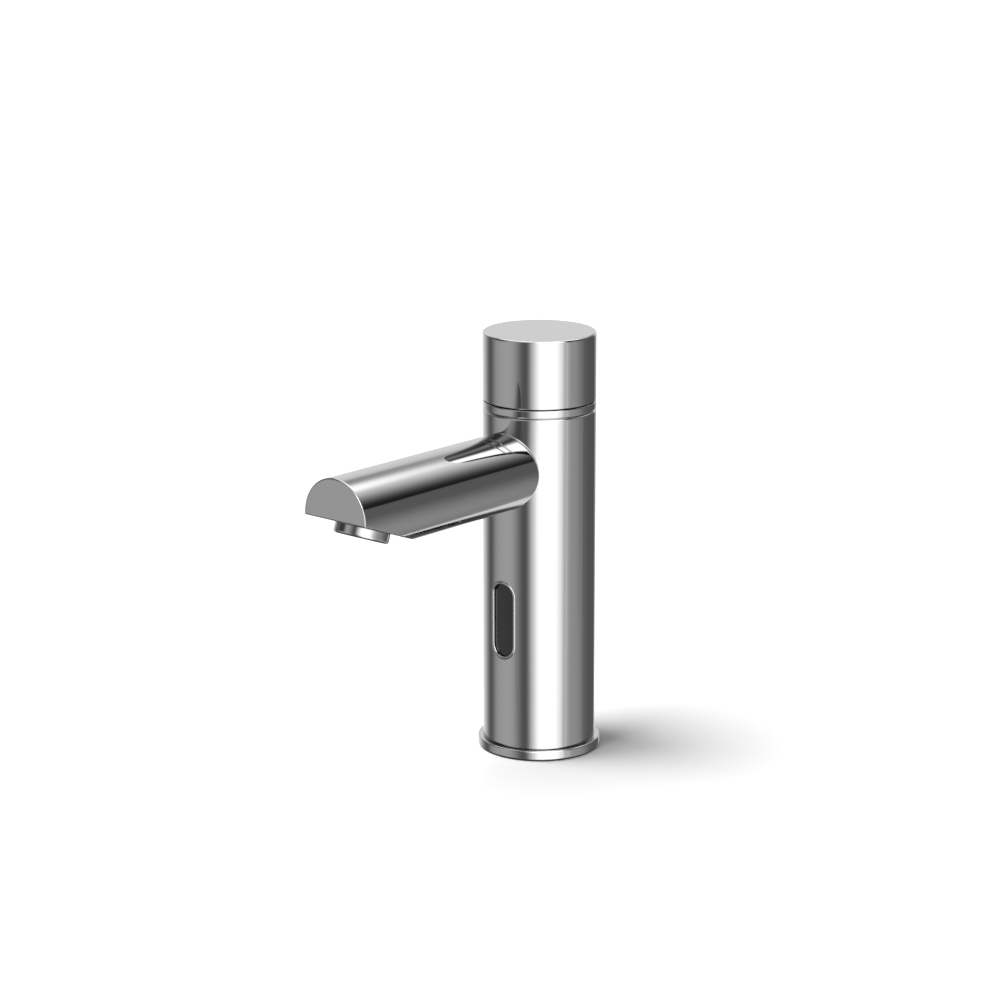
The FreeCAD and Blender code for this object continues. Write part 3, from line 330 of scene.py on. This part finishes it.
def studio_brightness(graph):
    """What a mirrored ray meets in each direction."""
    direction = graph.add("ShaderNodeTexCoord").outputs["Generated"]
    heading, elevation = heading_and_elevation(graph, direction)
    level = wall_brightness(graph, heading, elevation)
    upper_window = graph.times(graph.window(heading, UPPER_WINDOW_SIDES),
                               graph.ramp(elevation, *UPPER_WINDOW_RISE))
    level = graph.math("MAXIMUM", level, graph.times(upper_window, UPPER_WINDOW_LEVEL))
    level = with_flags_and_floor(graph, level, heading, elevation)

    from_rear = graph.math("SUBTRACT", 180.0, graph.math("ABSOLUTE", heading))
    low_wall = graph.times(graph.fall(from_rear, *LOW_WALL_TURN),
                           graph.window(elevation, LOW_WALL_RISE))
    level = graph.mix(low_wall, level, LOW_WALL_LEVEL)
    aim = studio_direction(OVERHEAD_HEADING, OVERHEAD_ELEVATION)
    overhead = graph.fall(angle_from(graph, direction, aim), *OVERHEAD_RADII)
    overhead = graph.times(graph.math("POWER", overhead, OVERHEAD_FALL), OVERHEAD_LEVEL)
    overhead = graph.times(overhead, graph.ramp(heading, *OVERHEAD_SIDE))
    level = graph.math("ADD", level, overhead)
    rear_light = graph.times(graph.fall(from_rear, *REAR_LIGHT_TURN),
                             graph.ramp(elevation, *REAR_LIGHT_RISE))
    level = graph.mix(rear_light, level, REAR_LIGHT_LEVEL)
    return graph.mix(graph.ramp(elevation, *CEILING_RISE), level, CEILING_LEVEL)


def make_world():
    """White for the camera, the studio for rays mirrored in metal, and plain soft light."""
    world = bpy.data.worlds.new("studio")
    bpy.context.scene.world = world
    world.use_nodes = True
    graph = Graph(world.node_tree)
    level = studio_brightness(graph)
    path = graph.add("ShaderNodeLightPath")
    mirrored = graph.math("MAXIMUM", path.outputs["Is Glossy Ray"],
                          path.outputs["Is Transmission Ray"])
    first_in_metal = graph.math("LESS_THAN", path.outputs["Diffuse Depth"], 1.0)
    level = graph.mix(graph.times(mirrored, first_in_metal), SOFT_LEVEL, level)
    level = graph.mix(path.outputs["Is Camera Ray"], level, 1.0)
    background = graph.add("ShaderNodeBackground")
    graph.link(level, background.inputs["Color"])
    output = graph.add("ShaderNodeOutputWorld")
    graph.link(background.outputs[0], output.inputs[0])


def mixed_shaders(graph, factor, first, second):
    choice = graph.add("ShaderNodeMixShader")
    graph.link(factor, choice.inputs[0])
    graph.link(first.outputs[0], choice.inputs[1])
    graph.link(second.outputs[0], choice.inputs[2])
    return choice


def make_floor():
    """White floor that keeps the tap's soft shadow and lets polished metal show the studio."""
    half = FLOOR_SIZE / 2
    mesh = bpy.data.meshes.new("floor")
    corners = [(-half, -half, 0), (half, -half, 0), (half, half, 0), (-half, half, 0)]
    mesh.from_pydata(corners, [], [(0, 1, 2, 3)])
    floor = bpy.data.objects.new("floor", mesh)
    bpy.context.scene.collection.objects.link(floor)
    material = bpy.data.materials.new("floor")
    material.use_nodes = True
    graph = Graph(material.node_tree)
    path = graph.add("ShaderNodeLightPath")
    lighting = graph.add("ShaderNodeBsdfDiffuse")
    lighting.inputs["Color"].default_value = FLOOR_COLOUR
    seen = graph.add("ShaderNodeBsdfDiffuse")
    seen.inputs["Color"].default_value = FLOOR_SEEN_COLOUR
    clear = graph.add("ShaderNodeBsdfTransparent")
    solid = mixed_shaders(graph, path.outputs["Is Camera Ray"], lighting, seen)
    shader = mixed_shaders(graph, path.outputs["Is Glossy Ray"], solid, clear)
    output = graph.add("ShaderNodeOutputMaterial")
    graph.link(shader.outputs[0], output.inputs[0])
    mesh.materials.append(material)


def make_key_light():
    """Broad soft lamp high on the left. The metal doesn't mirror it, but shows the studio."""
    data = bpy.data.lights.new("key", "SUN")
    data.angle = math.radians(KEY_ANGLE)
    data.energy = KEY_STRENGTH
    lamp = bpy.data.objects.new("key", data)
    bpy.context.scene.collection.objects.link(lamp)
    aim = studio_direction(KEY_HEADING, KEY_ELEVATION)
    lamp.location = aim
    lamp.rotation_euler = aim.to_track_quat("Z", "Y").to_euler()
    lamp.visible_glossy = False


def noise(graph, coordinates, scale, detail):
    node = graph.add("ShaderNodeTexNoise")
    graph.link(coordinates, node.inputs["Vector"])
    node.inputs["Scale"].default_value = scale
    node.inputs["Detail"].default_value = detail
    node.inputs["Roughness"].default_value = GRAIN_ROUGHNESS
    return node.outputs["Fac"]


def surface(name, colour, spread, roughness, grain, metallic=0.0, bump=0.0, coat=0.0,
            stretch=(1, 1, 1), soft_edge=0.0):
    """Material with a slightly uneven colour and roughness, and a fine bump or softened edges."""
    material = bpy.data.materials.new(name)
    material.use_nodes = True
    graph = Graph(material.node_tree)
    shader = graph.add("ShaderNodeBsdfPrincipled")
    output = graph.add("ShaderNodeOutputMaterial")
    graph.link(shader.outputs[0], output.inputs[0])
    scaled = graph.add("ShaderNodeMapping")
    graph.link(graph.add("ShaderNodeTexCoord").outputs["Object"], scaled.inputs["Vector"])
    scaled.inputs["Scale"].default_value = stretch
    fine = noise(graph, scaled.outputs[0], grain, FINE_DETAIL)
    broad = noise(graph, scaled.outputs[0], grain / BROAD_GRAIN, BROAD_DETAIL)
    tint = graph.add("ShaderNodeMix", data_type="RGBA")
    darker, lighter, tinted = tint.inputs[6], tint.inputs[7], tint.outputs[2]
    graph.link(broad, tint.inputs[0])
    darker.default_value = [c * (1 - spread) for c in colour] + [1]
    lighter.default_value = [min(1, c * (1 + spread)) for c in colour] + [1]
    graph.link(tinted, shader.inputs["Base Color"])
    graph.link(graph.ramp(fine, *GRAIN_BAND, *roughness, smooth=False),
               shader.inputs["Roughness"])
    if bump:
        relief = graph.add("ShaderNodeBump")
        relief.inputs["Strength"].default_value = 1.0
        relief.inputs["Distance"].default_value = bump
        graph.link(fine, relief.inputs["Height"])
        graph.link(relief.outputs[0], shader.inputs["Normal"])
    if soft_edge:
        rim = graph.add("ShaderNodeBevel", samples=EDGE_SAMPLES)
        rim.inputs["Radius"].default_value = soft_edge
        graph.link(rim.outputs[0], shader.inputs["Normal"])
    shader.inputs["Metallic"].default_value = metallic
    shader.inputs["Coat Weight"].default_value = coat
    return material


def chrome(name, edge):
    return surface(name, colour=(0.50, 0.50, 0.502), spread=0.01, metallic=METAL,
                   roughness=(0.012, 0.03), grain=60.0, soft_edge=edge)


def dress_nodes():
    """Gives every CAD node the finish of its material slot, or its own."""
    slots = {part["node"]: part["material_slot"] for part in frame["record"]["subparts"]}
    by_slot = {slot: surface(**finish) for slot, finish in FINISHES.items()}
    by_slot["chrome"] = chrome("polished_chrome", CHROME_EDGE)
    own = {name: chrome("polished_" + name, edge) for name, edge in OWN_CHROME_EDGES.items()}
    # the valve body gets brass darkened as painted shade of the gap under the knob
    own["valve_body"] = surface(**PAINTED_SHADE_BRASS)
    for name, node in nodes.items():
        if not node.material_slots:
            node.data.materials.append(None)
        for slot in node.material_slots:
            slot.link = "OBJECT"
            slot.material = own.get(name, by_slot[slots[name]])


make_camera()
make_world()
make_floor()
make_key_light()
dress_nodes()
bpy.context.scene.view_settings.view_transform = "Standard"
